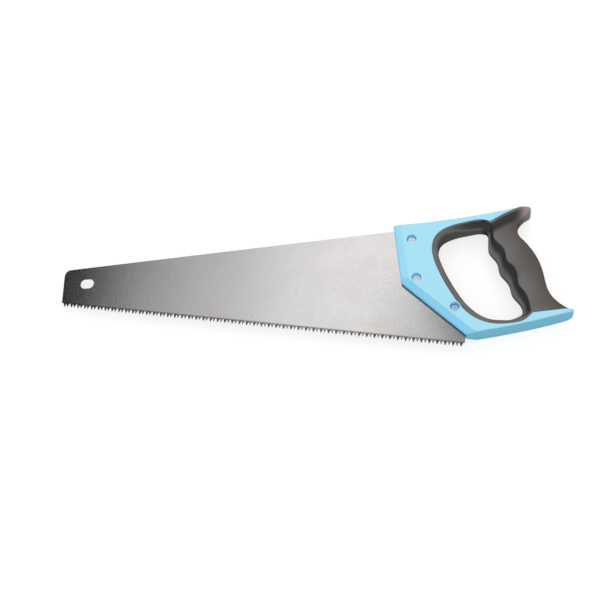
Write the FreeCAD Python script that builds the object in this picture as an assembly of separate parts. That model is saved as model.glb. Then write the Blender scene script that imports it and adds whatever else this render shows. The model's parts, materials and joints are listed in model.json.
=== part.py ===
"""Hand saw with a two-material moulded handle: a toothed steel blade, a hard handle core that
clamps it with three screws and sleeve nuts, and a soft grip moulded over the core.

The saw is drawn lying on its side: X runs along the tooth line from the toe to the handle,
Y runs from the tooth tips to the back, and the blade is centred on Z = 0.  The points of the
handle are measured from the heel, the end of the tooth line.  At the end everything is moved
so that the origin is at the middle of the base of the bounding box.
"""
import FreeCAD, Part
import math
import os

# Blade, millimetres and degrees
TOOTH_PITCH = 25.4 / 7      # seven teeth to the inch
TOOTH_COUNT = 109
TOOTH_HEIGHT = 4.2
TOOTH_SET = 0.25            # how far a point stands proud of the blade's face
BLADE_THICKNESS = 0.9
TOE_HEIGHT = 40.4           # tooth tips to back, above the first tooth
NOSE_HEIGHT = 109.4         # tooth tips to back, where the back enters the handle
NOSE_SETBACK = 80.1         # from that place to the heel, along the tooth line
TOE_RUN = 3.2               # plain steel ahead of the first tooth
HEEL_RUN = 3.4              # plain steel behind the last tooth
HEEL_CLIP = 0.6             # small corner taken off the heel
TOE_LEAN = 8.5              # lean of the toe's end towards the handle
TOE_CORNER_RADIUS = 6.0
HANG_SLOT_LENGTH = 14.0
HANG_SLOT_WIDTH = 10.0
HANG_SLOT_PLACE = (18.2, 26.7)
HANG_SLOT_TILT = 10.0

# Handle core
HANDLE_THICKNESS = 24.0
BEVEL_DEPTH = 5.5           # how far the front bevels cut down from each cheek
BEVEL_WIDTH_FRONT = 7.6
BEVEL_WIDTH_DIAGONAL = 6.6
EDGE_CHAMFER = 1.2          # along the top and the bottom wall
TIP_ROUNDING = 7.0          # of the heel of the handle, towards both cheeks
LEDGE_WIDTH = 2.4           # how far the core reaches under the rim of the grip
LEDGE_COVER = 3.0           # soft material over each face of that ledge
SPINE_SKIN = 7.5            # soft material over each face of the plate inside the grip
SPINE_COVER = 5.5           # soft material over the edges of that plate
KEY_HOLE_DIAMETER = 7.0     # holes that lock the soft material to the plate
BLADE_FIT = 0.05            # clearance on each face of the blade in its slot
TANG_FIT = 0.3              # clearance around the edge of the blade in its slot

# Soft grip
RIM_WIDTH = 4.0
GRIP_EDGE_RADIUS = 9.0
HORN_STEP = 1.0             # how far the horn lies below each cheek
EDGE_STEPS = 4              # bands that make up one rounded edge of the grip
SADDLE_DEPTH = 2.4          # how far the grip's cheeks are hollowed between the horn and the base

# Screws and sleeve nuts
HEAD_DIAMETER = 8.2
HEAD_HEIGHT = 2.6
HEAD_DOME = 0.9
RECESS_DIAMETER = 9.2
UPPER_RECESS_DEPTH = 6.1    # cheek to seat, upper and middle screw
LOWER_RECESS_DEPTH = 8.4    # cheek to seat, lower screw
SCREW_DIAMETER = 3.5
SLEEVE_DIAMETER = 5.5
SLEEVE_FIT = 0.1            # clearance around the sleeve, on the radius
THREAD_FIT = 0.1            # clearance between screw and sleeve, on the radius
SLEEVE_GAP = 0.8            # free end of the sleeve to the screw's head
SLEEVE_FLOOR = 2.5          # solid steel between the sleeve's bore and its seat
SCREW_END_GAP = 0.5         # end of the screw to the end of the bore
CROSS_WIDTH = 1.1
CROSS_LENGTH = 4.6
CROSS_DEPTH = 1.6

PAST = 60.0                 # how far a cutting tool runs past what it cuts
OVERLAP = 0.5               # how far two shapes that are joined reach into each other
NEAR = 0.05                 # what counts as lying on a line

UP = FreeCAD.Vector(0, 0, 1)
HALF_THICKNESS = HANDLE_THICKNESS / 2
HALF_BLADE = BLADE_THICKNESS / 2
TOOTH_LINE = TOOTH_PITCH * (TOOTH_COUNT - 1)
HEEL_X = TOOTH_LINE + HEEL_RUN
SEAT_SPAN = HANDLE_THICKNESS - 2 * UPPER_RECESS_DEPTH   # between the two seats of one screw set
SLEEVE_HOLE = SLEEVE_DIAMETER + 2 * SLEEVE_FIT
BORE_DEPTH = SEAT_SPAN - SLEEVE_GAP - SLEEVE_FLOOR
HEAD_FLOOR = HEAD_HEIGHT - CROSS_DEPTH                  # steel under the cross


def spot(x, y, z=0.0):
    """A point of the blade, measured from the first tooth's tip."""
    return FreeCAD.Vector(x, y, z)


def at_heel(x, y):
    """A point of the handle, measured from the heel."""
    return FreeCAD.Vector(HEEL_X + x, y, 0)


# The handle's outline in side view
FRONT_TOP = at_heel(-79.3, NOSE_HEIGHT + 1.8)
FRONT_LOW = at_heel(-64.7, 55.4)
HEEL_CORNER = at_heel(1.2, 9.8)
TOP_MIDDLE = at_heel(-20.3, 123.5)
HORN_ROOT = at_heel(37.7, 140.5)
HORN_MIDDLE = at_heel(24.2, 132.4)
RIM_TOP = at_heel(11.2, 122.8)
RIM_BOTTOM = at_heel(57.2, 35.4)
BASE_MIDDLE = at_heel(75.0, 39.5)
BASE_END = at_heel(91.7, 43.4)
BOTTOM_MIDDLE = at_heel(42.7, 22.0)
BOTTOM_END = at_heel(86.7, 38.2)
BASE_TIP = at_heel(93.0, 41.0)
RIM_POINTS = [at_heel(x, y) for x, y in (
    (3.7, 123.8), (-10.3, 120.6), (-27.3, 113.6), (-37.9, 103.5), (-39.9, 91.0), (-33.3, 72.0),
    (-16.3, 46.0), (1.7, 28.0), (19.7, 21.6), (38.7, 23.2), (50.7, 27.9))]

# The two long sides of the grip, from the horn down to the base
FINGER_SIDE = [at_heel(x, y) for x, y in (
    (9.7, 121.0), (10.7, 110.0), (11.1, 101.5), (13.2, 94.2), (17.8, 89.6), (21.3, 85.0),
    (22.9, 79.5), (25.2, 73.9), (30.2, 69.0), (34.0, 64.2), (36.0, 58.4), (38.6, 52.7),
    (43.2, 48.4), (46.8, 44.0), (48.2, 38.0), (46.5, 31.0))]
PALM_SIDE = [at_heel(x, y) for x, y in (
    (37.7, 132.0), (36.6, 122.5), (37.7, 116.3), (44.2, 109.6), (50.7, 102.8), (56.9, 93.6),
    (61.7, 83.6), (65.2, 73.0), (68.4, 63.6), (73.2, 56.2), (79.7, 50.6), (91.0, 44.4))]
HORN_UNDERSIDE = at_heel(40.4, 130.2)
HORN_TIP_LOW = at_heel(46.4, 137.6)
HORN_TIP = at_heel(47.2, 140.5)
HORN_TIP_TOP = at_heel(44.4, 142.2)
ACROSS_GRIP = FreeCAD.Vector(0.87, 0.49, 0)     # from the finger side towards the palm side

# Screws, upper, middle and lower
SCREW_PLACES = {
    "upper": (at_heel(-60.0, 98.3), UPPER_RECESS_DEPTH),
    "middle": (at_heel(-50.6, 59.6), UPPER_RECESS_DEPTH),
    "lower": (at_heel(-12.4, 34.3), LOWER_RECESS_DEPTH),
}
KEY_HOLES = (at_heel(24.5, 117.5), at_heel(38.5, 88.0), at_heel(52.5, 58.0))

# The hidden end of the blade, inside the handle
TANG_POINTS = (at_heel(-75.0, NOSE_HEIGHT - 4.0), at_heel(-46.4, NOSE_HEIGHT + 1.8), at_heel(-43.4, 82.0),
               at_heel(-33.0, 62.5), at_heel(-8.6, 37.2), at_heel(-3.2, 24.0))
NOSE_INSIDE = 4.0           # how far the full height of the blade enters the handle


def line(start, end):
    return Part.LineSegment(start, end).toShape()


def arc(start, middle, end):
    return Part.Arc(start, middle, end).toShape()


def spline(points):
    curve = Part.BSplineCurve()
    curve.interpolate(points)
    return curve.toShape()


def prism(edges, low, high):
    """The closed outline, made a solid between two heights."""
    face = Part.Face(Part.Wire(Part.__sortEdges__(edges)))
    face.translate(UP * low)
    return face.extrude(UP * (high - low))


def polygon_prism(points, low, high):
    corners = list(points) + [points[0]]
    return prism([line(a, b) for a, b in zip(corners, corners[1:])], low, high)


def plate(edges, thickness):
    return prism(edges, -thickness / 2, thickness / 2)


def disc(place, diameter, low, high):
    return Part.makeCylinder(diameter / 2, high - low, place + UP * low, UP)


def oblong(place, length, width, tilt, low, high):
    """An upright slot tool with round ends."""
    reach = FreeCAD.Vector(math.cos(math.radians(tilt)), math.sin(math.radians(tilt)), 0)
    reach = reach * ((length - width) / 2)
    side = UP.cross(reach).normalize() * (width / 2)
    ends = [disc(place + reach * way, width, low, high) for way in (-1, 1)]
    middle = polygon_prism([place - reach - side, place + reach - side,
                            place + reach + side, place - reach + side], low, high)
    return middle.multiFuse(ends).removeSplitter()


def back_height(x):
    """Height of the blade's back above the tooth line."""
    run = HEEL_X - NOSE_SETBACK
    return TOE_HEIGHT + (NOSE_HEIGHT - TOE_HEIGHT) * x / run


def blade_edges():
    """The blade's outline without its teeth, with the end that is hidden in the handle."""
    lean = math.tan(math.radians(TOE_LEAN))
    toe_low = spot(-TOE_RUN, TOOTH_HEIGHT)
    top_x = -TOE_RUN - lean * (TOE_HEIGHT - TOOTH_HEIGHT)
    toe_top = spot(top_x, back_height(top_x))
    inside_x = HEEL_X - NOSE_SETBACK + NOSE_INSIDE
    back_end = spot(inside_x, back_height(inside_x))
    down = (toe_low - toe_top).normalize()
    along = (back_end - toe_top).normalize()
    reach = TOE_CORNER_RADIUS / math.tan(down.getAngle(along) / 2)
    centre_way = (down + along).normalize()
    centre = toe_top + centre_way * math.hypot(reach, TOE_CORNER_RADIUS)
    corner_low = toe_top + down * reach
    corner_back = toe_top + along * reach
    corner_middle = centre - centre_way * TOE_CORNER_RADIUS
    heel_low = spot(HEEL_X - HEEL_CLIP, TOOTH_HEIGHT)
    inside = [back_end] + list(TANG_POINTS) + [at_heel(0, HEEL_CORNER.y), heel_low, toe_low]
    edges = [line(a, b) for a, b in zip(inside, inside[1:])]
    return edges + [line(toe_low, corner_low), arc(corner_low, corner_middle, corner_back),
                    line(corner_back, back_end)]


def tooth(number):
    """A sharp pyramid whose point lies proud of one face of the blade, each tooth on the other."""
    middle = number * TOOTH_PITCH
    side = 1 if number % 2 else -1
    tip = spot(middle, 0, side * (HALF_BLADE + TOOTH_SET))
    ends = (middle - TOOTH_PITCH / 2, middle + TOOTH_PITCH / 2)
    base = [spot(ends[0], TOOTH_HEIGHT, -HALF_BLADE), spot(ends[1], TOOTH_HEIGHT, -HALF_BLADE),
            spot(ends[1], TOOTH_HEIGHT, HALF_BLADE), spot(ends[0], TOOTH_HEIGHT, HALF_BLADE)]
    loop = base + [base[0]]
    faces = [Part.Face(Part.makePolygon(loop))]
    faces += [Part.Face(Part.makePolygon([a, b, tip, a])) for a, b in zip(loop, loop[1:])]
    shell = Part.Shell(faces)
    return Part.Solid(shell)


def blade():
    body = plate(blade_edges(), BLADE_THICKNESS)
    body = body.multiFuse([tooth(number) for number in range(TOOTH_COUNT)])
    tools = [oblong(spot(*HANG_SLOT_PLACE), HANG_SLOT_LENGTH, HANG_SLOT_WIDTH, HANG_SLOT_TILT, -PAST, PAST)]
    tools += [disc(place, SLEEVE_HOLE, -PAST, PAST) for place, _ in SCREW_PLACES.values()]
    return body.cut(tools).removeSplitter()


def core_edges():
    """The visible outline of the hard core: an open C that the grip closes."""
    return [line(FRONT_TOP, FRONT_LOW), line(FRONT_LOW, HEEL_CORNER),
            arc(HEEL_CORNER, BOTTOM_MIDDLE, BOTTOM_END), arc(BOTTOM_END, BASE_TIP, BASE_END),
            arc(BASE_END, BASE_MIDDLE, RIM_BOTTOM), spline([RIM_TOP] + RIM_POINTS + [RIM_BOTTOM]),
            arc(RIM_TOP, HORN_MIDDLE, HORN_ROOT), arc(HORN_ROOT, TOP_MIDDLE, FRONT_TOP)]


def rim_curve(inset):
    """The rim line of the bay, moved into the bay by the inset, and its two ends."""
    points = [RIM_TOP] + RIM_POINTS + [RIM_BOTTOM]
    curve = Part.BSplineCurve()
    curve.interpolate(points)
    moved = []
    for point in points:
        tangent = FreeCAD.Vector(*curve.tangent(curve.parameter(point))[0]).normalize()
        moved.append(point + UP.cross(tangent) * inset)
    return spline(moved), moved[0], moved[-1]


def bay_prism(thickness):
    """The bay inside the rim line, closed by a straight line through the grip."""
    curve, top, bottom = rim_curve(0)
    return plate([curve, line(bottom, top)], thickness)


def opening_prism(inset, thickness):
    """The bay drawn in by the inset, and carried past its straight side into the grip."""
    curve, top, bottom = rim_curve(inset)
    past = ACROSS_GRIP * (RIM_WIDTH + OVERLAP)
    corners = (bottom, bottom + past, top + past, top)
    return plate([curve] + [line(a, b) for a, b in zip(corners, corners[1:])], thickness)


def bay_band(width, thickness):
    """A band that follows the rim line on the inside of the bay."""
    return bay_prism(thickness).cut(opening_prism(width, thickness + PAST))


def bevel_tool(start, end, width):
    """Wedges that bevel one straight edge of the outline on both cheeks."""
    along = (end - start).normalize()
    inward = UP.cross(along)
    if inward.dot(RIM_TOP - start) < 0:
        inward = inward * -1
    outer = start - along * PAST - inward * PAST
    edge = start - along * PAST
    above = OVERLAP
    inner = edge + inward * (width * (1 + above / BEVEL_DEPTH))
    wedges = []
    for way in (-1, 1):
        foot = UP * (way * (HALF_THICKNESS - BEVEL_DEPTH))
        top = UP * (way * (HALF_THICKNESS + above))
        corners = [outer + foot, edge + foot, inner + top, outer + top]
        face = Part.Face(Part.makePolygon(corners + [corners[0]]))
        wedges.append(face.extrude(along * ((end - start).Length + 2 * PAST)))
    return wedges


def chamfered(solid, edges_near):
    """Chamfer the cheek edges of the walls whose middles lie on the given plan edges."""
    chosen = []
    for edge in solid.Edges:
        height = edge.CenterOfMass.z
        if abs(abs(height) - HALF_THICKNESS) > NEAR or edge.Length < 2 * EDGE_CHAMFER:
            continue
        foot = Part.Vertex(edge.valueAt(sum(edge.ParameterRange) / 2) - UP * height)
        if any(foot.distToShape(plan)[0] < NEAR for plan in edges_near):
            chosen.append(edge)
    return solid.makeChamfer(EDGE_CHAMFER, chosen)


def grip_side_points(inset):
    """Both long sides of the grip, each drawn in towards the middle by the inset."""
    finger = [point + ACROSS_GRIP * inset for point in FINGER_SIDE]
    palm = [point - ACROSS_GRIP * inset for point in PALM_SIDE]
    return finger, palm


def grip_wire(inset, height):
    finger, palm = grip_side_points(inset)
    wire = Part.Wire([spline(finger), line(finger[-1], palm[-1]), spline(palm[::-1]),
                      line(palm[0], finger[0])])
    wire.translate(UP * height)
    return wire


def grip_body():
    """The hand grip: its sides are upright in the middle and rounded towards both cheeks."""
    flat = HALF_THICKNESS - GRIP_EDGE_RADIUS
    levels = []
    for step in range(EDGE_STEPS + 1):
        angle = math.pi / 2 * step / EDGE_STEPS
        levels.append((GRIP_EDGE_RADIUS * (1 - math.cos(angle)), flat + GRIP_EDGE_RADIUS * math.sin(angle)))
    lower = [(inset, -height) for inset, height in reversed(levels)]
    wires = [grip_wire(inset, height) for inset, height in lower + levels]
    return Part.makeLoft(wires, True, True)


def horn():
    """The spur over the web of the hand, and the soft skin between it and the grip."""
    rim_end = RIM_TOP + (RIM_BOTTOM - RIM_TOP).normalize() * RIM_WIDTH
    edges = [arc(HORN_ROOT, HORN_MIDDLE, RIM_TOP), line(RIM_TOP, rim_end), line(rim_end, PALM_SIDE[2]),
             spline([PALM_SIDE[2], PALM_SIDE[1], HORN_UNDERSIDE, HORN_TIP_LOW]),
             arc(HORN_TIP_LOW, HORN_TIP, HORN_TIP_TOP), line(HORN_TIP_TOP, HORN_ROOT)]
    return plate(edges, HANDLE_THICKNESS - 2 * HORN_STEP)


def saddles():
    """Two large rollers that hollow both cheeks of the grip between the horn and the base."""
    half_chord = (RIM_TOP - RIM_BOTTOM).Length / 2
    radius = (half_chord ** 2 + SADDLE_DEPTH ** 2) / (2 * SADDLE_DEPTH)
    start = (RIM_TOP + RIM_BOTTOM) / 2 - ACROSS_GRIP * PAST
    lift = HALF_THICKNESS + radius - SADDLE_DEPTH
    return [Part.makeCylinder(radius, 2 * PAST, start + UP * (way * lift), ACROSS_GRIP) for way in (-1, 1)]


def tip_tools():
    """What is cut away to round the heel of the handle towards both cheeks."""
    side = TIP_ROUNDING + OVERLAP
    start = FreeCAD.Vector(BASE_TIP.x - TIP_ROUNDING, BASE_TIP.y - PAST / 2, 0)
    centre = HALF_THICKNESS - TIP_ROUNDING
    tools = []
    for way in (-1, 1):
        low = min(way * centre, way * (centre + side))
        block = Part.makeBox(side, PAST, side, start + UP * low)
        roller = Part.makeCylinder(TIP_ROUNDING, PAST, start + UP * (way * centre), FreeCAD.Vector(0, 1, 0))
        tools.append(block.cut(roller))
    return tools


def spine():
    """The plate of the core that runs inside the grip, with its key holes."""
    finger, palm = grip_side_points(SPINE_COVER)
    edges = [spline(finger), line(finger[-1], palm[-1]), spline(palm[::-1]), line(palm[0], finger[0])]
    body = plate(edges, HANDLE_THICKNESS - 2 * SPINE_SKIN)
    return body.cut([disc(place, KEY_HOLE_DIAMETER, -HALF_THICKNESS, HALF_THICKNESS) for place in KEY_HOLES])


def grip_envelope():
    """All that the soft material fills, before the core is taken out of it."""
    grip = grip_body().cut(saddles() + tip_tools())
    return bay_band(RIM_WIDTH, HANDLE_THICKNESS).multiFuse([grip, horn()])


def screw_pockets():
    """Recesses for the heads and the through holes for the sleeves."""
    tools = []
    for place, depth in SCREW_PLACES.values():
        seat = HALF_THICKNESS - depth
        tools.append(disc(place, RECESS_DIAMETER, seat, PAST))
        tools.append(disc(place, RECESS_DIAMETER, -PAST, seat - SEAT_SPAN))
        tools.append(disc(place, SLEEVE_HOLE, -PAST, PAST))
    return tools


def blade_slot():
    face = Part.Face(Part.Wire(Part.__sortEdges__(blade_edges())))
    face = face.makeOffset2D(TANG_FIT)
    half = HALF_BLADE + BLADE_FIT
    face.translate(UP * -half)
    return face.extrude(UP * (2 * half))


def core_blank():
    """The core as one solid with its bevels, ledge and spine, before it is slotted and bored."""
    walls = [arc(HEEL_CORNER, BOTTOM_MIDDLE, BOTTOM_END), arc(HORN_ROOT, TOP_MIDDLE, FRONT_TOP)]
    body = plate(core_edges(), HANDLE_THICKNESS)
    body = body.cut(bevel_tool(FRONT_TOP, FRONT_LOW, BEVEL_WIDTH_FRONT)
                    + bevel_tool(FRONT_LOW, HEEL_CORNER, BEVEL_WIDTH_DIAGONAL) + tip_tools())
    body = chamfered(body, walls)
    ledge = bay_band(LEDGE_WIDTH, HANDLE_THICKNESS - 2 * LEDGE_COVER)
    return body.multiFuse([ledge, spine()]).removeSplitter()


def handle_core():
    return core_blank().cut(screw_pockets() + [blade_slot()]).removeSplitter()


def soft_grip():
    return grip_envelope().cut(core_blank()).removeSplitter()


def cross_tool(place, top):
    """The driver's cross, cut down from the top of a head; top is negative on the far side."""
    way = 1 if top > 0 else -1
    low, high = sorted((top - way * CROSS_DEPTH, top + way * OVERLAP))
    bars = []
    for wide, tall in ((CROSS_LENGTH, CROSS_WIDTH), (CROSS_WIDTH, CROSS_LENGTH)):
        bars.append(Part.makeBox(wide, tall, high - low, place + FreeCAD.Vector(-wide / 2, -tall / 2, low)))
    return bars


def head(place, seat, way):
    """A domed head on its seat, with a driver's cross; way is 1 on the near cheek, -1 on the far."""
    radius = HEAD_DIAMETER / 2
    top = seat + way * HEAD_HEIGHT
    low, high = sorted((seat, top))
    body = disc(place, HEAD_DIAMETER, low, high)
    ball_radius = (radius ** 2 + HEAD_DOME ** 2) / (2 * HEAD_DOME)
    ball = Part.makeSphere(ball_radius, place + UP * (top - way * ball_radius))
    return body.common(ball).cut(cross_tool(place, top))


def screw(place, depth):
    seat = HALF_THICKNESS - depth
    reach = SLEEVE_GAP + BORE_DEPTH - SCREW_END_GAP
    shank = disc(place, SCREW_DIAMETER, seat - reach, seat + HEAD_FLOOR / 2)
    return head(place, seat, 1).fuse(shank).removeSplitter()


def sleeve_nut(place, depth):
    seat = HALF_THICKNESS - depth - SEAT_SPAN
    end = seat + SEAT_SPAN - SLEEVE_GAP
    sleeve = disc(place, SLEEVE_DIAMETER, seat - HEAD_FLOOR / 2, end)
    bore = disc(place, SCREW_DIAMETER + 2 * THREAD_FIT, end - BORE_DEPTH, end + OVERLAP)
    return head(place, seat, -1).fuse(sleeve).cut(bore).removeSplitter()


def parts():
    made = {"blade": blade(), "handle_core": handle_core(), "soft_grip": soft_grip()}
    for name, (place, depth) in SCREW_PLACES.items():
        made["screw_" + name] = screw(place, depth)
        made["sleeve_nut_" + name] = sleeve_nut(place, depth)
    return made


def main():
    made = parts()
    box = Part.makeCompound(list(made.values())).optimalBoundingBox(False, False)
    shift = FreeCAD.Vector(-box.Center.x, -box.Center.y, -box.ZMin)
    os.makedirs("parts", exist_ok=True)
    for name, shape in made.items():
        shape.translate(shift)
        shape.exportStep(os.path.join("parts", name + ".step"))
        print(name, "solids", len(shape.Solids), "volume %.1f" % shape.Volume, "valid", shape.isValid())
    print("size", [round(side, 2) for side in (box.XLength, box.YLength, box.ZLength)])
    print("shift", [round(part, 3) for part in shift])


main()
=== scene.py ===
"""Hand saw: the finished surfaces of the blade, the two-material handle and its fasteners.

Everything is worked out in millimetres from the heel of the blade, the low end of the tooth line at
the handle: X runs along the teeth towards the handle, Y from the tooth tips to the back and Z up from
the middle of the blade.  to_frame() then moves it into the shared frame, in metres.
"""
import json
import math
from dataclasses import dataclass
from functools import cached_property

import bmesh
import bpy
import numpy as np
from bpy.props import FloatProperty, FloatVectorProperty, PointerProperty
from mathutils import Matrix, Vector
from mathutils.geometry import delaunay_2d_cdt

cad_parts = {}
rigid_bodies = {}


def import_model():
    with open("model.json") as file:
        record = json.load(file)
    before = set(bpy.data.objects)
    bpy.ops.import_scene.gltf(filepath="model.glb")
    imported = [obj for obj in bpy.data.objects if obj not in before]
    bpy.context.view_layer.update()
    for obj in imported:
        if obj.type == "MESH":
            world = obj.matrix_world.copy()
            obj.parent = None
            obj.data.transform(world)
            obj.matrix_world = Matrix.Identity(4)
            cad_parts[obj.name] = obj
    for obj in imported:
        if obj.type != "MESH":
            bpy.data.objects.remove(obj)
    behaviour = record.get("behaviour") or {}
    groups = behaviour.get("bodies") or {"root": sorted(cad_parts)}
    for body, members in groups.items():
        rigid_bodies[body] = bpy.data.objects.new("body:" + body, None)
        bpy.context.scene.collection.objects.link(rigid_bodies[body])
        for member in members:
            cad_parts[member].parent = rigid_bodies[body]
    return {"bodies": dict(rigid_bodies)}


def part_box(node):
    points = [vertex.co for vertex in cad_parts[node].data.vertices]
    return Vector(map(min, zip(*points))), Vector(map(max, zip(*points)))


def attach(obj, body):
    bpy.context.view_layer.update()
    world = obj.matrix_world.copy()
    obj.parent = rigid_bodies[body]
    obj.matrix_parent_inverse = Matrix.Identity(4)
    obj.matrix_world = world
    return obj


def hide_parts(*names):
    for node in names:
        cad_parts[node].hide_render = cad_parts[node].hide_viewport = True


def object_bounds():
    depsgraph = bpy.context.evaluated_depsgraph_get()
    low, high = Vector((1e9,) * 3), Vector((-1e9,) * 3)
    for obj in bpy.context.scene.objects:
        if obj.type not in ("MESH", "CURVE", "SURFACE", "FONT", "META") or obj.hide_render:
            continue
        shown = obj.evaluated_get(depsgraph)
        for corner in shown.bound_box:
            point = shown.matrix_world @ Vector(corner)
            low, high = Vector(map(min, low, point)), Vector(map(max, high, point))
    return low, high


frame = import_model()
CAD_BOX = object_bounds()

bl_info = {
    "name": "Hand saw builder",
    "version": (1, 0, 0),
    "blender": (4, 5, 0),
    "location": "3D View > Sidebar > Hand saw",
    "description": "Builds the blade, handle, grip, fasteners and stage of a hand saw",
    "category": "Add Mesh",
}

BODY = list(frame["bodies"])[0]
BLADE_LOW, BLADE_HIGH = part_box("blade")
CORE_LOW, CORE_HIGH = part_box("handle_core")
MM = 0.001
HEEL = np.array([BLADE_HIGH.x, BLADE_LOW.y, (BLADE_LOW.z + BLADE_HIGH.z) / 2])
HALF_THICKNESS = (CORE_HIGH.z - CORE_LOW.z) / 2 / MM
SCREW_NAMES = ("upper", "middle", "lower")

# The handle's outline in side view, from the heel
FRONT_TOP = (-79.3, 111.2)
FRONT_LOW = (-64.7, 55.4)
HEEL_CORNER = (1.2, 9.8)
BOTTOM_MIDDLE = (42.7, 22.0)
BOTTOM_END = (86.7, 38.2)
BASE_END = (91.7, 43.4)
BASE_TIP_POINTS = (BOTTOM_END, (89.3, 39.3), (91.6, 40.4), (92.85, 41.7), (92.7, 42.9), BASE_END)
BASE_MIDDLE = (75.0, 39.5)
RIM_BOTTOM = (57.2, 35.4)
RIM_TOP = (11.2, 122.8)
HORN_MIDDLE = (24.2, 132.4)
HORN_ROOT = (37.7, 140.5)
TOP_MIDDLE = (-20.3, 123.5)
RIM_POINTS = (
    (3.7, 123.8), (-10.3, 120.6), (-27.3, 113.6), (-37.9, 103.5), (-39.9, 91.0), (-33.3, 72.0),
    (-16.3, 46.0), (1.7, 28.0), (19.7, 21.6), (38.7, 23.2), (50.7, 27.9),
)

# The finger side of the hand hole, from its top corner down to its bottom corner
FINGER_POINTS = (
    (8.0, 115.3), (9.9, 112.6), (10.5, 108.8), (11.1, 101.5), (13.2, 94.2), (17.8, 89.6), (21.3, 85.0),
    (22.9, 79.5), (25.2, 73.9), (30.2, 69.0), (34.0, 64.2), (36.0, 58.4), (38.6, 52.7), (43.2, 48.4),
    (46.8, 44.0), (48.3, 38.4), (47.5, 34.2), (45.0, 30.9), (41.2, 28.5), (37.4, 27.05),
)
# Where the finger side of the grip turns into its cheek, from the rim's top to its bottom
SHOULDER_POINTS = (
    (10.4, 121.6), (13.4, 117.6), (14.4, 112.5), (15.5, 107.0), (18.9, 103.0), (23.9, 98.6), (27.0, 93.0),
    (28.4, 87.4), (30.2, 83.4), (34.7, 80.3), (38.6, 75.4), (40.2, 70.0), (41.2, 64.4), (42.9, 60.5),
    (46.2, 57.4), (49.7, 53.0), (51.9, 48.2), (53.3, 43.6), (54.2, 39.4), (55.2, 35.8),
)
HORN_TIP = ((37.7, 140.5), (41.4, 141.7), (44.6, 142.1), (46.6, 141.0), (47.2, 139.0), (46.4, 136.9))
PALM_POINTS = (
    (46.4, 136.9), (43.6, 133.9), (40.1, 130.2), (37.4, 125.6), (36.6, 120.6), (37.9, 115.6), (44.2, 108.9),
    (50.7, 101.8), (56.9, 93.2), (61.7, 83.4), (65.2, 73.0), (68.4, 63.6), (73.2, 56.2), (79.7, 50.6),
    (91.7, 43.6),
)


def to_frame(points):
    """Points in millimetres from the heel, as metres in the shared frame."""
    return np.asarray(points, float) * MM + HEEL


def screw_spot(name):
    """The axis of a screw in plan, from the heel."""
    low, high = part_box("screw_" + name)
    return (np.array((low + high) / 2) - HEEL)[:2] / MM


# -------- curves in the plane of the saw

TINY = 1e-12                    # stands for a height of nought that something is divided by


def apart(first, second):
    """Distances between places, or from places to one spot."""
    return np.linalg.norm(np.subtract(first, second), axis=-1)


def lengths_along(points):
    """Distance along a line of points, from its first point to each."""
    return np.r_[0.0, np.cumsum(apart(points[1:], points[:-1]))]


def read_at(wanted, along, points):
    """Each column of the points, interpolated at the wanted distances along their line."""
    return np.stack([np.interp(wanted, along, column) for column in points.T], axis=1)


def spread_evenly(points, count):
    """The same line with count points, evenly spaced along its length."""
    along = lengths_along(points)
    return read_at(np.linspace(0, along[-1], count), along, points)


def wrapped(loop):
    """A closed loop with its first point again at its end."""
    return np.vstack([loop, loop[:1]])


def straight(start, end, count):
    return np.linspace(np.asarray(start, float), np.asarray(end, float), count)


def on_circle(angle, radius):
    """Points of a circle round the origin, at the given angles."""
    return radius * np.stack([np.cos(angle), np.sin(angle)], axis=1)


def circle(centre, radius, count):
    return np.asarray(centre) + on_circle(np.arange(count) * math.tau / count, radius)


def arc_through(start, middle, end, count):
    """The circle through three points, from the first past the second to the third.

    The centre is where the bisectors of the two chords meet; the angle then goes evenly from start to end.
    """
    a, b, c = (np.asarray(point, float) for point in (start, middle, end))
    system = 2 * np.array([b - a, c - b])
    centre = np.linalg.solve(system, np.array([b @ b - a @ a, c @ c - b @ b]))
    first, half, last = (math.atan2(*(point - centre)[::-1]) for point in (a, b, c))
    turn = (last - first) % math.tau
    if (half - first) % math.tau > turn:
        turn -= math.tau
    return centre + on_circle(first + np.linspace(0, turn, count), apart(a, centre))


def spline_through(points, count, closed=False):
    """A cubic spline through the points, by chord length, with count points evenly along it.

    The second derivatives solve the usual three-term system, and are nought at open ends.  A closed
    line is wrapped past itself first, so that its ends don't show.
    """
    knots = np.asarray(points, float)
    first, last = 0, len(knots) - 1
    if closed:
        first, last = 4, len(knots) + 4
        knots = np.vstack([knots[-first:], knots, knots[:first + 1]])
    along = lengths_along(knots)
    gap = np.diff(along)
    inner = np.arange(1, len(knots) - 1)
    system = np.eye(len(knots))
    system[inner, inner - 1] = gap[:-1]
    system[inner, inner] = 2 * (gap[:-1] + gap[1:])
    system[inner, inner + 1] = gap[1:]
    slope = np.diff(knots, axis=0) / gap[:, None]
    bend = np.linalg.solve(system, np.vstack([[[0, 0]], 6 * np.diff(slope, axis=0), [[0, 0]]]))
    place = np.linspace(along[first], along[last], 12 * count)
    piece = np.clip(np.searchsorted(along, place, side="right") - 1, 0, len(gap) - 1)
    low = ((along[piece + 1] - place) / gap[piece])[:, None]
    high = 1 - low
    bent = (low ** 3 - low) * bend[piece] + (high ** 3 - high) * bend[piece + 1]
    line = low * knots[piece] + high * knots[piece + 1] + bent * gap[piece][:, None] ** 2 / 6
    return spread_evenly(line, count + 1)[:-1] if closed else spread_evenly(line, count)


def left_normals(points, closed=False):
    """Unit normals to the left of a line of points, from the direction between the neighbours."""
    if closed:
        ahead = np.roll(points, -1, axis=0) - np.roll(points, 1, axis=0)
    else:
        ahead = np.gradient(points, axis=0)
    normal = np.stack([-ahead[:, 1], ahead[:, 0]], axis=1)
    return normal / np.linalg.norm(normal, axis=1, keepdims=True)


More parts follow.
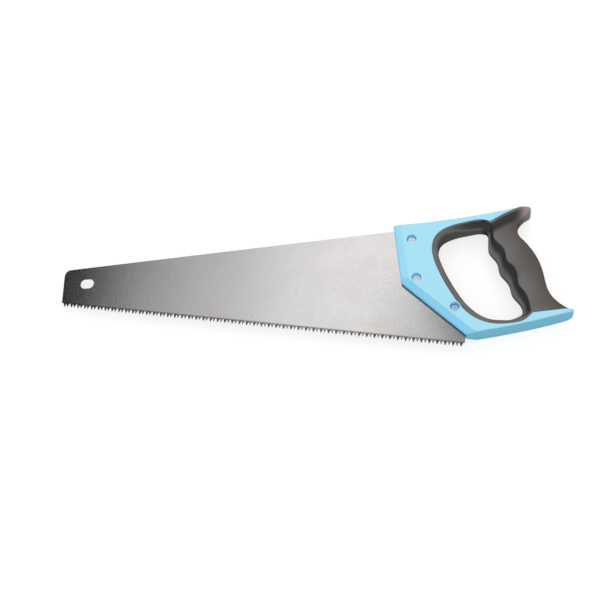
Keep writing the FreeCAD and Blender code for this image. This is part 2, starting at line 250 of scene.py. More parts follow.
def distance_to_line(places, line):
    """Distance of each place to the nearest segment of a line of points, row by row of places."""
    start, step = line[:-1], np.diff(line, axis=0)
    square = (step ** 2).sum(axis=1)
    found = []
    for row in places:
        away = row[:, None] - start[None]
        share = np.clip((away * step).sum(axis=2) / square, 0, 1)
        found.append(apart(away, share[..., None] * step).min(axis=1))
    return np.array(found)


def inside_loop(places, loop):
    """Which places lie inside a closed loop: those from which a ray crosses it an odd number of times."""
    x, y = places[:, 0, None], places[:, 1, None]
    x0, y0 = loop.T
    x1, y1 = np.roll(loop, -1, axis=0).T
    level = y1 - y0
    level = np.where(np.abs(level) < TINY, TINY, level)
    crosses = ((y0 > y) != (y1 > y)) & (x < (x1 - x0) * (y - y0) / level + x0)
    return crosses.sum(axis=1) % 2 == 1


def ease(value, start=0.0, reach=1.0):
    """A smooth step up over the reach past the start: 3 v squared less 2 v cubed, with v from 0 to 1."""
    value = np.clip((value - start) / reach, 0, 1)
    return value * value * (3 - 2 * value)


def smoothed(values, reach):
    """Mean of each value and its neighbours round a closed line, done twice."""
    kernel = np.ones(2 * reach + 1) / (2 * reach + 1)
    for _ in range(2):
        values = np.convolve(np.r_[values[-reach:], values, values[:reach]], kernel, mode="valid")
    return values


# -------- meshes

WELD = 0.002                    # points nearer to each other than this become one
SUPPORT = 0.12                  # width of a flat row of faces round each side of a plate
BEVEL_SOFTNESS = 0.5
GROOVE_HEIGHT = 2.4


def link_new(name, data):
    """A new object in the scene."""
    made = bpy.data.objects.new(name, data)
    bpy.context.scene.collection.objects.link(made)
    return made


def raised(plan, height):
    """Places in plan with their heights as a third coordinate."""
    height = np.broadcast_to(height, plan.shape[:-1])
    return np.concatenate([plan, height[..., None]], axis=-1)


class Surface:
    """Grids and triangles that are collected and welded into one closed mesh."""

    def __init__(self, values=None):
        self.places, self.faces, self.marks = [], [], []
        self.values = values
        self.count = 0

    def add(self, places, faces, mark=0):
        """Faces between places, with the number of their material."""
        places = np.asarray(places, float).reshape(-1, 3)
        self.places.append(places)
        self.faces.extend((np.asarray(faces) + self.count).tolist())
        self.marks.extend([mark] * len(faces))
        self.count += len(places)

    def add_grid(self, grid, close_rows=False):
        """Quads between neighbours of a grid of places, rows by columns; each row closes round."""
        rows, columns = grid.shape[:2]
        number = np.arange(rows * columns).reshape(rows, columns)
        if close_rows:
            number = np.vstack([number, number[:1]])
        number = np.hstack([number, number[:, :1]])
        faces = np.stack([number[:-1, :-1], number[:-1, 1:], number[1:, 1:], number[1:, :-1]], axis=-1)
        self.add(grid, faces.reshape(-1, 4))

    def finish(self, name, replaced, slot, materials, sharp=math.radians(32)):
        """Weld, turn the faces outwards, and hand the object over to the frame."""
        mesh = bpy.data.meshes.new(name)
        mesh.from_pydata(to_frame(np.vstack(self.places)).tolist(), [], self.faces)
        mesh.polygons.foreach_set("material_index", self.marks)
        if self.values is not None:
            # the values are the grip's painted shade, kept as the hollow attribute for its material
            mesh.attributes.new("hollow", "FLOAT", "POINT").data.foreach_set("value", self.values)
        shape = bmesh.new()
        shape.from_mesh(mesh)
        bmesh.ops.remove_doubles(shape, verts=shape.verts, dist=WELD * MM)
        bmesh.ops.recalc_face_normals(shape, faces=shape.faces)
        shape.to_mesh(mesh)
        shape.free()
        mesh.polygons.foreach_set("use_smooth", [True] * len(mesh.polygons))
        mesh.set_sharp_from_angle(angle=sharp)
        for material in materials:
            mesh.materials.append(material)
        piece = link_new(name, mesh)
        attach(piece, BODY)
        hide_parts(replaced)


def fill_between(outline, holes, spacing):
    """Triangles that fill a flat outline with holes in it.

    The loops are constraints of a Delaunay triangulation that also takes in an even grid of points,
    and the triangles whose centres lie in a hole are left out.
    """
    def clear_of_holes(places):
        return ~np.any([inside_loop(places, hole) for hole in holes], axis=0)

    inside_only = 1
    loops = [outline] + holes
    low, high = outline.min(axis=0), outline.max(axis=0)
    grid = np.stack(np.meshgrid(*(np.arange(a + spacing / 2, b, spacing) for a, b in zip(low, high))), -1)
    grid = grid.reshape(-1, 2)
    grid = grid[inside_loop(grid, outline) & clear_of_holes(grid)]
    away = np.min([distance_to_line(grid[None], wrapped(loop))[0] for loop in loops], axis=0)
    points = np.vstack(loops + [grid[away > spacing / 2]])
    edges = []
    for loop in loops:
        number = len(edges) + np.arange(len(loop))
        edges += np.stack([number, np.roll(number, -1)], axis=1).tolist()
    found = delaunay_2d_cdt([Vector(point) for point in points.tolist()], edges, [], inside_only, 1e-3)
    places = np.array([tuple(place) for place in found[0]])
    faces = np.array(found[2])
    return places, faces[clear_of_holes(places[faces].mean(axis=1))]


@dataclass
class Run:
    """One stretch of an outline, with the shape of its two edges towards the cheeks.

    rounding is the radius where the wall or the bevel meets the cheek, bevel the width of a flat bevel
    that starts at the height foot above the middle, and groove the depth of the lips where the blade
    enters.
    """
    points: np.ndarray
    rounding: float
    bevel: float = 0.0
    foot: float = 0.0
    groove: float = 0.0

    def __post_init__(self):
        self.normals = left_normals(self.points)

    def inset(self, height, half):
        """How far the surface lies inside the outline at a height above the middle.

        Above the foot the bevel goes in evenly, with a hyperbola for a soft start.  Near the cheek a
        circle of the rounding's radius touches both the bevel (or the wall) and the cheek.
        """
        rise = half - self.foot
        steep = math.atan2(rise, self.bevel)
        lift = height - self.foot
        inset = self.bevel / rise * (lift + math.hypot(lift, BEVEL_SOFTNESS)) / 2
        if height > half - self.rounding * (1 - math.cos(steep)):
            reach = self.rounding ** 2 - (height - half + self.rounding) ** 2
            inset = self.bevel + self.rounding * math.tan(steep / 2) - math.sqrt(max(reach, 0))
        return inset + self.groove * (1 - ease(height, 0, GROOVE_HEIGHT))

    def moved(self, inset, from_start, from_end):
        """The run moved inwards, and shortened at both ends by what the corners take."""
        along = lengths_along(self.points)
        wanted = from_start + (along[-1] - from_start - from_end) * along / along[-1]
        return read_at(wanted, along, self.points) + read_at(wanted, along, self.normals) * inset


def inset_loop(runs, insets, soften):
    """The closed outline with each run moved in by its own inset.

    At a corner the new point has the distance of each run's inset from that run's line.  Corners are
    then rounded within the softening reach of each run's first point.
    """
    ends, shorten = [], []
    for run, after, a, b in zip(runs, runs[1:] + runs[:1], insets, insets[1:] + insets[:1]):
        one, two = run.normals[-1], after.normals[0]
        cosine = float(one @ two)
        if cosine > 0.999:
            step = (one * a + two * b) / 2
        else:
            step = (one * (a - b * cosine) + two * (b - a * cosine)) / (1 - cosine ** 2)
        ends.append(run.points[-1] + step)
        back = float(step @ (one[1], -one[0]))
        ahead = float(step @ (two[1], -two[0]))
        shorten.append((max(0.0, -back), max(0.0, ahead)))
    lines = []
    for number, run in enumerate(runs):
        line = run.moved(insets[number], shorten[number - 1][1], shorten[number][0])
        line[0] = ends[number - 1]
        lines.append(line[:-1])
    loop = np.vstack(lines)
    corner = 0
    for line, reach in zip(lines, soften):
        if reach:
            loop = round_corner(loop, corner, reach)
        corner += len(line)
    return loop


def round_corner(loop, corner, reach):
    """Round a corner of a closed loop: nearby points become the mean of an evenly spaced window."""
    window = np.arange(-3 * reach, 3 * reach + 1)
    near = loop[(corner + window) % len(loop)]
    kernel = np.ones(2 * reach + 1) / (2 * reach + 1)
    mean = np.stack([np.convolve(axis, kernel, mode="valid") for axis in near.T], axis=1)
    centre = near[reach:-reach]
    window = window[reach:-reach]
    weight = ease(2 - np.abs(window) / reach)[:, None]
    loop = loop.copy()
    loop[(corner + window) % len(loop)] = centre + (mean - centre) * weight
    return loop


def plate_surface(runs, soften, levels, half, holes, spacing, height=lambda places: 1.0):
    """A plate whose edge is a profile carried round the outline, with both flat sides filled.

    levels are heights above the middle as far as the side; the last row is drawn in a little more to
    keep the shading of the side flat.  height scales the heights over the plan.
    """
    def row(level, further=0.0):
        loop = inset_loop(runs, [run.inset(level, half) + further for run in runs], soften)
        return raised(loop, level * height(loop))

    upper = np.array([row(level) for level in levels] + [row(half, SUPPORT)])
    surface = Surface()
    surface.add_grid(np.concatenate([upper[:0:-1] * (1, 1, -1), upper]))
    places, faces = fill_between(upper[-1, :, :2], holes, spacing)
    side = raised(places, half * height(places))
    surface.add(side, faces)
    surface.add(side * (1, 1, -1), faces)
    return surface


def turned(centre, profile, count, relief=None, relieved=0):
    """A profile of (radius, height) turned round an upright axis; relief lowers the first rings."""
    rings = []
    for number, (radius, height) in enumerate(profile):
        ring = circle((0, 0), radius, count)
        drop = relief(ring) if number < relieved else 0
        rings.append(raised(ring + centre, height - drop))
    return np.array(rings)


# -------- materials

class Wire:
    """An output of a material's node.  Sums, products and so on of it add Math nodes."""

    def __init__(self, finish, socket):
        self.finish = finish
        self.socket = socket

    def maths(self, operation, first, second=0.0):
        return self.finish.node("ShaderNodeMath", {"operation": operation}, {0: first, 1: second})

    def __abs__(self):
        return self.maths("ABSOLUTE", self)

    def __add__(self, other):
        return self.maths("ADD", self, other)

    def __radd__(self, other):
        return self.maths("ADD", other, self)

    def __sub__(self, other):
        return self.maths("SUBTRACT", self, other)

    def __rsub__(self, other):
        return self.maths("SUBTRACT", other, self)

    def __mul__(self, other):
        return self.maths("MULTIPLY", self, other)

    def __rmul__(self, other):
        return self.maths("MULTIPLY", other, self)


class Finish:
    """The nodes of a material, or of a world, made one call at a time."""

    def __init__(self, name, kind="materials", shader="Principled BSDF"):
        self.owner = getattr(bpy.data, kind).new(name)
        self.owner.use_nodes = True
        self.tree = self.owner.node_tree
        self.shader = self.tree.nodes[shader]

    @cached_property
    def place(self):
        return self.node("ShaderNodeTexCoord", output="Object")

    def node(self, kind, settings=None, inputs=None, output=0):
        """Add a node: its settings first, then the values or links of its sockets."""
        made = self.tree.nodes.new(kind)
        for name, value in (settings or {}).items():
            if name == "stops":
                while len(made.color_ramp.elements) < len(value):
                    made.color_ramp.elements.new(0.5)
                for stop, (position, shade) in zip(made.color_ramp.elements, value):
                    stop.position = position
                    stop.color = (shade, shade, shade, 1)
            else:
                setattr(made, name, value)
        for name, value in (inputs or {}).items():
            self.connect(made.inputs[name], value)
        return Wire(self, made.outputs[output])

    def connect(self, socket, value):
        """Link a wire, or set a value; a colour gets its alpha of one."""
        if isinstance(value, Wire):
            self.tree.links.new(value.socket, socket)
        elif socket.type == "RGBA":
            socket.default_value = (*value, 1)
        else:
            socket.default_value = value

    def set(self, **sockets):
        """Set the shader's sockets; an underscore in a name stands for a space."""
        for name, value in sockets.items():
            self.connect(self.shader.inputs[name.replace("_", " ")], value)

    def shade_with(self, shader):
        """Put another shader in the place of the usual one."""
        self.tree.nodes.remove(self.shader)
        self.connect(self.tree.nodes["Material Output"].inputs["Surface"], shader)
        return self.owner

    def noise(self, scale, stretch=(1, 1, 1), detail=2.0, roughness=0.5):
        """Noise on the object's own coordinates, with its size set in cycles per metre."""
        scaled = self.node("ShaderNodeMapping", {}, {"Vector": self.place,
                                                     "Scale": tuple(scale * part for part in stretch)})
        return self.node("ShaderNodeTexNoise", {}, {"Vector": scaled, "Scale": 1.0, "Detail": detail,
                                                    "Roughness": roughness})

    def between(self, amount, first, second):
        """A colour that goes from the first to the second with the amount."""
        return self.node("ShaderNodeMix", {"data_type": "RGBA"},
                         {"Factor": amount, "A": first, "B": second}, output=2)

    def axis(self, name):
        return self.node("ShaderNodeSeparateXYZ", {}, {"Vector": self.place}, output=name)

    def remap(self, value, low, high, start=0.0, end=1.0, kind="LINEAR"):
        """The value carried from one range to another."""
        return self.node("ShaderNodeMapRange", {"interpolation_type": kind},
                         {"Value": value, "From Min": low, "From Max": high, "To Min": start, "To Max": end})

    def step(self, value, low, high):
        """Nought where the value is low or less, one where it is high or more, smooth between."""
        return self.remap(value, low, high, kind="SMOOTHSTEP")

    def past(self, name, low, high):
        """The same step along an axis, from low to high in millimetres from the heel."""
        start = float(HEEL["XY".index(name)])
        return self.step(self.axis(name), start + low * MM, start + high * MM)

    def distance_past(self, start, end):
        """How far the surface lies to the left of a line in plan, given from the heel in millimetres."""
        start, end = np.array(start) * MM + HEEL[:2], np.array(end) * MM + HEEL[:2]
        across = np.array([start[1] - end[1], end[0] - start[0]]) / apart(end, start)
        x, y = across.tolist()
        return self.axis("X") * x + self.axis("Y") * y - float(start @ across)

    def bump(self, height, strength, distance):
        self.set(Normal=self.node("ShaderNodeBump", {}, {"Height": height, "Strength": strength,
                                                         "Distance": distance}))


def shaded(colour, share):
    """A colour made darker, or paler with a share over one."""
    return [part * share for part in colour]


def blade_steel(settings):
    """Rolled spring steel with a bright polish: a long fine grain, small dents, and a heat tint by the teeth.

    A painted contact shadow darkens it along the edge of the handle, and painted shade, standing for a darker
    reflection, lies near the heel.
    """
    finish = Finish("blade_steel")
    clean = settings.steel_colour
    grain = finish.noise(260, (1, 8, 1), 3.0, 0.6)
    flecks = finish.noise(520, (1, 1.5, 1), 3.0, 0.65)
    clouds = finish.noise(30, (1, 1.4, 1), 3.0, 0.5)
    worn = finish.step(flecks * 0.55 + clouds * 0.45, 0.44, 0.62)
    colour = finish.between(worn * 0.6, clean, shaded(clean, 0.93))
    colour = finish.between((1 - finish.past("Y", 4.1, 5.6)) * 0.9, colour, (0.27, 0.245, 0.23))
    away = finish.distance_past(HEEL_CORNER, FRONT_LOW)
    beside = finish.past("X", FRONT_LOW[0] - 1, FRONT_LOW[0] + 1)
    # painted contact shadow: a dark line on the steel along the handle's diagonal edge, where the handle
    # shades the blade
    painted_contact_shadow = (1 - finish.step(away, 0.3 * MM, 1.9 * MM)) * beside * 0.8
    colour = finish.between(painted_contact_shadow, colour, (0.1, 0.085, 0.08))
    # painted shade near the heel, standing for a darker reflection in the steel, mottled by the flecks
    near_heel = finish.past("X", FRONT_LOW[0] - 10, HEEL_CORNER[0])
    painted_heel_shade = (1 - finish.step(away, 0, 26 * MM)) * near_heel * (0.15 + flecks * 0.6)
    finish.set(Base_Color=finish.between(painted_heel_shade, colour, (0.2, 0.2, 0.24)), Metallic=1.0,
               Roughness=0.11 + grain * 0.06 + worn * 0.05)
    finish.bump(grain * 0.35 + flecks * 0.65, 1.0, 0.00009)
    return finish.owner


def ground_steel():
    """The ground and hardened flanks of the teeth: dark, with fine grinding lines."""
    finish = Finish("ground_steel")
    lines = finish.noise(1500, (6, 1, 1), 2.0, 0.5)
    finish.set(Base_Color=finish.between(lines, (0.05, 0.047, 0.045), (0.16, 0.15, 0.145)),
               Metallic=0.85, Roughness=0.32 + lines * 0.15)
    return finish.owner


def core_plastic(settings):
    """Hard moulded plastic with a fine spark-eroded texture and a slight flow of colour.

    Painted shading: the bevels and walls get another tone than the cheeks, for how light falls on them, and
    the front bevel lies between.
    """
    finish = Finish("core_plastic")
    flow = finish.noise(18, (1, 1.5, 1), 2.0, 0.5)
    texture = finish.noise(3200, detail=2.0, roughness=0.6)
    height = abs(finish.axis("Z") - float(HEEL[2]))
    cheek = finish.step(height, (HALF_THICKNESS - 0.9) * MM, (HALF_THICKNESS - 0.05) * MM)
    from_front = finish.distance_past(FRONT_TOP, FRONT_LOW)
    from_diagonal = finish.distance_past(FRONT_LOW, HEEL_CORNER)
    on_front = finish.step(from_diagonal - from_front, -0.3 * MM, 0.3 * MM)
    on_front *= finish.step(height, (FRONT_FOOT - 0.2) * MM, (FRONT_FOOT + 0.4) * MM)
    # painted shading: the bevels and walls take the core's shaded tone, the front bevel a little over half of
    # it
    bevels = finish.between(on_front * 0.55, settings.core_painted_shading, settings.core_colour)
    colour = finish.between(cheek * (0.9 + flow * 0.2), bevels, settings.core_colour)
    finish.set(Base_Color=colour, Roughness=0.4 + texture * 0.14, Specular_IOR_Level=0.4)
    finish.bump(texture, 0.35, 0.00006)
    return finish.owner


def grip_rubber(settings):
    """Soft moulded rubber, matt and finely pebbled; painted warm shade at the palm, painted light on the
    horn's tip.
    """
    finish = Finish("grip_rubber")
    cloud = finish.noise(40, (1, 1, 1), 3.0, 0.55)
    pebble = finish.noise(2400, detail=1.5, roughness=0.5)
    # painted shade: the hollow attribute darkens the rubber beside the hand hole and under the horn
    hollow = finish.node("ShaderNodeAttribute", {"attribute_name": "hollow"}, output="Fac")
    towards_palm = finish.axis("X") * 0.82 + finish.axis("Y") * 0.45
    heel = float(HEEL[0] * 0.82 + HEEL[1] * 0.45)
    # painted warm shade on the palm side of the grip, kept off the horn
    painted_palm_shade = finish.step(towards_palm, heel + 63 * MM, heel + 88 * MM)
    on_horn = finish.past("Y", 124, 138)
    # painted light: the horn's tip is made paler, as if it caught the light
    painted_horn_light = on_horn * finish.past("X", 33, 44)
    colour = finish.between(finish.step(cloud, 0.3, 0.75), settings.grip_colour,
                            shaded(settings.grip_colour, 1.25))
    colour = finish.between(painted_palm_shade * (0.9 - on_horn * 0.9), colour, (0.074, 0.056, 0.046))
    colour = finish.between(painted_horn_light, colour, (0.31, 0.28, 0.26))
    finish.set(Base_Color=finish.between(hollow * 0.95, colour, (0.022, 0.022, 0.023)),
               Roughness=0.58 + pebble * 0.14, Specular_IOR_Level=0.45)
    finish.bump(pebble, 0.45, 0.0001)
    return finish.owner


def plated_steel(settings):
    """Bright zinc plating with fine turning marks."""
    finish = Finish("plated_steel")
    marks = finish.noise(2600, (1, 1, 3), 2.0, 0.5)
    light = settings.screw_colour
    finish.set(Base_Color=finish.between(finish.step(marks, 0.4, 0.7), light, shaded(light, 0.9)),
               Metallic=0.12, Roughness=0.3 + marks * 0.12, Specular_IOR_Level=0.8)
    finish.bump(marks, 0.2, 0.00003)
    return finish.owner


# -------- settings

def tint(name, description, default):
    return FloatVectorProperty(name=name, description=description, default=default, subtype="COLOR",
                               size=3, min=0, max=1)


def size(name, description, millimetres):
    return FloatProperty(name=name, description=description, default=millimetres * MM, unit="LENGTH")


class SawSettings(bpy.types.PropertyGroup):
    """Sizes and colours of the saw."""
    steel_colour: tint("Blade", "Colour of the blade", (0.80, 0.782, 0.774))
    core_colour: tint("Core", "Colour of the hard core", (0.375, 0.735, 0.89))
    # painted shading: the tone given to the core's bevels and walls for how light falls on them
    core_painted_shading: tint("Core, off the cheeks", "Colour of the core's bevels and walls", (0.26, 0.70, 0.96))
    grip_colour: tint("Grip", "Colour of the soft grip", (0.122, 0.116, 0.112))
    screw_colour: tint("Screws", "Colour of the screws", (0.97, 0.97, 0.98))
    tooth_pitch: size("Tooth pitch", "From one tooth's tip to the next", 25.4 / 7)
    tooth_height: size("Tooth height", "From the tips to the gullets", 4.2)
    rim_width: size("Rim width", "Least width of the soft rim of the hand hole", 4.0)
    front_bevel: size("Front bevel", "Width of the bevel at the handle's front", 7.6)
    diagonal_bevel: size("Diagonal bevel", "Width of the bevel over the teeth", 6.1)


class StageSettings(bpy.types.PropertyGroup):
    """The floor, the light and the camera."""
    floor_colour: FloatProperty(name="Floor", description="Paleness of the floor", default=0.32, min=0, max=1)
    dome: FloatProperty(name="Dome", description="Strength of the light from all round", default=0.95)
    key: FloatProperty(name="Key lamp", description="Power of the large soft lamp", default=3.5, unit="POWER")
    lens: FloatProperty(name="Lens", description="Focal length of the camera, in millimetres", default=60.0)
    turn: FloatProperty(name="Turn", description="How far the camera is turned about its own axis",
                        default=math.radians(9.53), subtype="ANGLE")


# -------- blade

TOOTH_COUNT = 109
HEEL_RUN = 3.4
TOE_RUN = 3.2
BLADE_HALF = 0.45
BLADE_LEVELS = (0.0, 0.33, 0.37, 0.41, 0.435, 0.447, BLADE_HALF)
BLADE_ROUNDING = 0.12
TOE_HEIGHT = 40.4
TOE_LEAN = math.tan(math.radians(8.5))
NOSE_HEIGHT = 109.4
NOSE_X = -80.1
HIDDEN_RUN = 4.0                # how far the back of the blade goes on inside the handle
SLOT_PLACE = (18.2, 26.7)       # of the hanging slot, from the first tooth's tip
SLOT_LENGTH = 14.0
SLOT_WIDTH = 10.0
SLOT_TILT = math.radians(10)
TANG_POINTS = ((-3.2, 24.0), (-8.6, 37.2), (-33.0, 62.5), (-43.4, 82.0), (-46.4, 111.2), (-75.0, 105.4))
TANG_HOLE = 3.0
TOOTH_SET = 0.25
ROOT_HALF = 0.4                 # half the thickness of a tooth where it meets the plate
FLEAM = 0.9                     # how far the ground flanks slant across the blade's thickness


def blade_runs(first_tip, tooth_height):
    """The blade's outline, anticlockwise from the heel's low corner: each straight stretch is a run.

    Only the toe's upper corner is softened.
    """
    slope = (NOSE_HEIGHT - TOE_HEIGHT) / (NOSE_X - first_tip)
    toe_x = first_tip - TOE_RUN
    toe_top_x = toe_x - TOE_LEAN * (TOE_HEIGHT - tooth_height)
    toe_top = (toe_top_x, TOE_HEIGHT + slope * (toe_top_x - first_tip))
    hidden = (NOSE_X + HIDDEN_RUN, NOSE_HEIGHT + slope * HIDDEN_RUN)
    corners = [(-0.6, tooth_height), (0.0, HEEL_CORNER[1]), *TANG_POINTS, hidden, toe_top,
               (toe_x, tooth_height)]
    runs = []
    for start, end in zip(corners, corners[1:] + corners[:1]):
        count = max(6, int(math.dist(start, end) / 2.0))
        runs.append(Run(straight(start, end, count), BLADE_ROUNDING))
    return runs, [3 if corner == toe_top else 0 for corner in corners]


def slot_loop(first_tip):
    """A slot with round ends: two half circles about the ends of its middle line."""
    end = on_circle(np.linspace(-math.pi / 2, math.pi / 2, 14), SLOT_WIDTH / 2)
    end += ((SLOT_LENGTH - SLOT_WIDTH) / 2, 0)
    cosine, sine = math.cos(SLOT_TILT), math.sin(SLOT_TILT)
    loop = np.vstack([end, -end]) @ np.array([[cosine, sine], [-sine, cosine]])
    return loop + (first_tip + SLOT_PLACE[0], SLOT_PLACE[1])


def tooth_shapes(pitch, height, first_tip):
    """All the teeth at once: one sharp tooth with ground flanks, repeated along the line.

    Each is a triangle on the side that it is set towards, and a narrower one on the other side, with
    slanting flanks between.  Odd and even teeth are mirror images through the blade's middle.
    """
    root = height + 0.4
    wide = pitch / 2 * 1.05
    apex = height * FLEAM / (pitch / 2)
    tooth = np.array([(-wide, root, -ROOT_HALF), (wide, root, -ROOT_HALF),
                      (wide - FLEAM * 1.2, root, ROOT_HALF), (FLEAM * 0.8 - wide, root, ROOT_HALF),
                      (0, 0, -BLADE_HALF - TOOTH_SET), (0, apex, BLADE_HALF - TOOTH_SET * 0.6)])
    number = np.arange(TOOTH_COUNT)[:, None, None]
    places = tooth * np.where(number % 2, (1, 1, -1), (1, 1, 1)) + number * (pitch, 0, 0)
    offset = number * len(tooth)
    sides = (np.array([(0, 4, 1), (3, 2, 5)]) + offset).reshape(-1, 3)
    ground = (np.array([(1, 4, 5, 2), (0, 3, 5, 4), (0, 1, 2, 3)]) + offset).reshape(-1, 4)
    return places + (first_tip, 0, 0), sides, ground


class HANDSAW_OT_blade(bpy.types.Operator):
    """Build the blade: a tapered plate with a hanging slot and ground, alternately set teeth"""
    bl_idname = "hand_saw.blade"
    bl_label = "Blade"

    def execute(self, context):
        settings = context.scene.hand_saw
        pitch = settings.tooth_pitch / MM
        height = settings.tooth_height / MM
        first_tip = -HEEL_RUN - pitch * (TOOTH_COUNT - 1)
        runs, soften = blade_runs(first_tip, height)
        holes = [slot_loop(first_tip)] + [circle(screw_spot(name), TANG_HOLE, 32) for name in SCREW_NAMES]
        surface = plate_surface(runs, soften, BLADE_LEVELS, BLADE_HALF, holes, 9.0)
        for hole in holes:
            surface.add_grid(np.array([raised(hole, level) for level in (-BLADE_HALF, 0, BLADE_HALF)]))
        places, sides, ground = tooth_shapes(pitch, height, first_tip)
        surface.add(places, sides)
        surface.add(places, ground, 1)
        surface.finish("blade_plate", "blade", "blade_steel", [blade_steel(settings), ground_steel()],
                       math.radians(12))
        return {"FINISHED"}


# -------- handle core

CORE_LEVELS = (0, 0.5, 1.0, 1.4, 1.8, 2.4, 4.0, 5.4, 6.0, 6.4, 6.8, 7.3, 8.2, 9.4, 10.2, 10.6, 10.9, 11.2,
               11.45, 11.62, 11.75, 11.85, 11.93, 11.98, 12.0)
BEVEL_FOOT = 6.5
FRONT_FOOT = 9.2
LIP_DEPTH = 1.6
EDGE_ROUNDING = 1.7
BOTTOM_ROUNDING = 1.1
TIP_EDGE = 0.8
RIDGE_ROUNDING = 0.8
SEAM_ROUNDING = 0.25
RIM_STEPS = 190
RECESS_RADIUS = 4.6
RECESS_LIP = 0.15
RECESS_SIDES = 56
TIP_ROUNDING = 6.5
TIP_REACH = 11.0
FAR_RECESS = {"upper": 6.1, "middle": 6.1, "lower": 3.8}
NEAR_RECESS = {"upper": 6.1, "middle": 6.1, "lower": 8.4}


def tip_height(places):
    """How high the handle is over the plan, as a share: an ellipse brings it down at the base's end."""
    start = BASE_END[0] + 1.3 - TIP_REACH
    past = np.clip((places[..., 0] - start) / TIP_REACH, 0, 0.99)
    return 1 - TIP_ROUNDING * (1 - np.sqrt(1 - past ** 2)) / HALF_THICKNESS


def rim_curve():
    """The line where the hard core meets the soft rim of the hand hole, from its top to its bottom."""
    return spline_through([RIM_TOP, *RIM_POINTS, RIM_BOTTOM], RIM_STEPS)


def clear_of_recess(line):
    """The same line, pushed clear of the lowest screw's recess.

    Distances from that screw's axis are softly kept above a least one, by half the sum of the two and
    of the root of their squared difference.
    """
    away = line - screw_spot("lower")
    distance = np.linalg.norm(away, axis=1, keepdims=True)
    least = RECESS_RADIUS + 0.65
    pushed = (distance + least + np.sqrt((distance - least) ** 2 + 0.2)) / 2
    return line + away / distance * (pushed - distance)


def core_runs(settings):
    """The core's outline, anticlockwise from the top of its front."""
    front = settings.front_bevel / MM
    diagonal = settings.diagonal_bevel / MM
    return [
        Run(straight(FRONT_TOP, FRONT_LOW, 52), RIDGE_ROUNDING, front, FRONT_FOOT, LIP_DEPTH),
        Run(straight(FRONT_LOW, HEEL_CORNER, 70), RIDGE_ROUNDING, diagonal, BEVEL_FOOT, LIP_DEPTH),
        Run(arc_through(HEEL_CORNER, BOTTOM_MIDDLE, BOTTOM_END, 80), BOTTOM_ROUNDING),
        Run(spline_through(BASE_TIP_POINTS, 18), TIP_EDGE),
        Run(arc_through(BASE_END, BASE_MIDDLE, RIM_BOTTOM, 34), SEAM_ROUNDING),
        Run(clear_of_recess(rim_curve())[::-1], SEAM_ROUNDING),
        Run(arc_through(RIM_TOP, HORN_MIDDLE, HORN_ROOT, 34), SEAM_ROUNDING),
        Run(arc_through(HORN_ROOT, TOP_MIDDLE, FRONT_TOP, 110), EDGE_ROUNDING),
    ]


def pocket_profile(depth):
    """A screw recess from its rounded lip at the cheek down its wall to the middle of its seat."""
    seat = HALF_THICKNESS - depth
    angle = np.linspace(0, math.pi / 2, 6)
    lip = np.column_stack([RECESS_RADIUS + RECESS_LIP * (1 - np.sin(angle)),
                           HALF_THICKNESS - RECESS_LIP * (1 - np.cos(angle))])
    return [*lip, (RECESS_RADIUS, seat + 0.25), (RECESS_RADIUS - 0.07, seat + 0.07),
            (RECESS_RADIUS - 0.25, seat), (2.0, seat), (0.0, seat)]


class HANDSAW_OT_core(bpy.types.Operator):
    """Build the hard core of the handle, with its bevels, blade slot lips and screw recesses"""
    bl_idname = "hand_saw.core"
    bl_label = "Handle core"

    def execute(self, context):
        settings = context.scene.hand_saw
        lips = [circle(screw_spot(name), RECESS_RADIUS + RECESS_LIP, RECESS_SIDES) for name in SCREW_NAMES]
        soften = [1, 3, 2, 0, 0, 0, 0, 0]
        surface = plate_surface(core_runs(settings), soften, CORE_LEVELS, HALF_THICKNESS, lips, 4.5,
                                tip_height)
        for name in SCREW_NAMES:
            for side, depths in ((1, NEAR_RECESS), (-1, FAR_RECESS)):
                pocket = turned(screw_spot(name), pocket_profile(depths[name]), RECESS_SIDES)
                surface.add_grid(pocket * (1, 1, side))
        surface.finish("core_shell", "handle_core", "core_plastic", [core_plastic(settings)])
        return {"FINISHED"}


# -------- soft grip

WALL_ROWS = 6
WALL_BULGE = 0.9
CREST_REACH = 7.0
# Height of the hollowed cheek against the share of the way from the horn's seam to the base's seam
CHEEK_SWELL = (
    (0, 7.7), (0.1, 7.8), (0.2, 8.5), (0.32, 9.6), (0.45, 10.4), (0.6, 10.5), (0.75, 9.9), (0.88, 9.3),
    (1, 9.3),
)
# What is added to the rim's width, in millimetres, against the share of the way along it from its top
RIM_SWELL = ((0, 3.6), (0.1, 3.5), (0.2, 1.5), (0.27, 0.9), (0.35, 1.5), (0.7, 1.9), (0.8, 0.6), (1, 0.5))
CREST_SPOTS = np.array([(13.2, 94.2), (25.2, 73.9), (38.6, 52.7)])    # ridges between the fingers
# Where on the finger side the sections from the horn's root, the horn's tip and the base's end arrive
FINGER_STOPS = ((10.45, 110.0), (10.9, 104.0), (46.6, 44.6))


def inner_rim(rim_width):
    """The rim moved into the hand hole by its width and by a swell that changes along it."""
    rim = rim_curve()
    swell = np.interp(np.linspace(0, 1, len(rim)), *zip(*RIM_SWELL))
    return rim + left_normals(rim) * (rim_width + swell)[:, None]


def hole_loop(inner):
    """The closed edge of the hand hole in the middle plane: the inner rim, then the finger side."""
    stations = np.linspace(0.03, 0.85, 22) * (len(inner) - 1)
    band = inner[stations.astype(int)][::-1]
    return spline_through(np.vstack([band, FINGER_POINTS]), 900, closed=True)


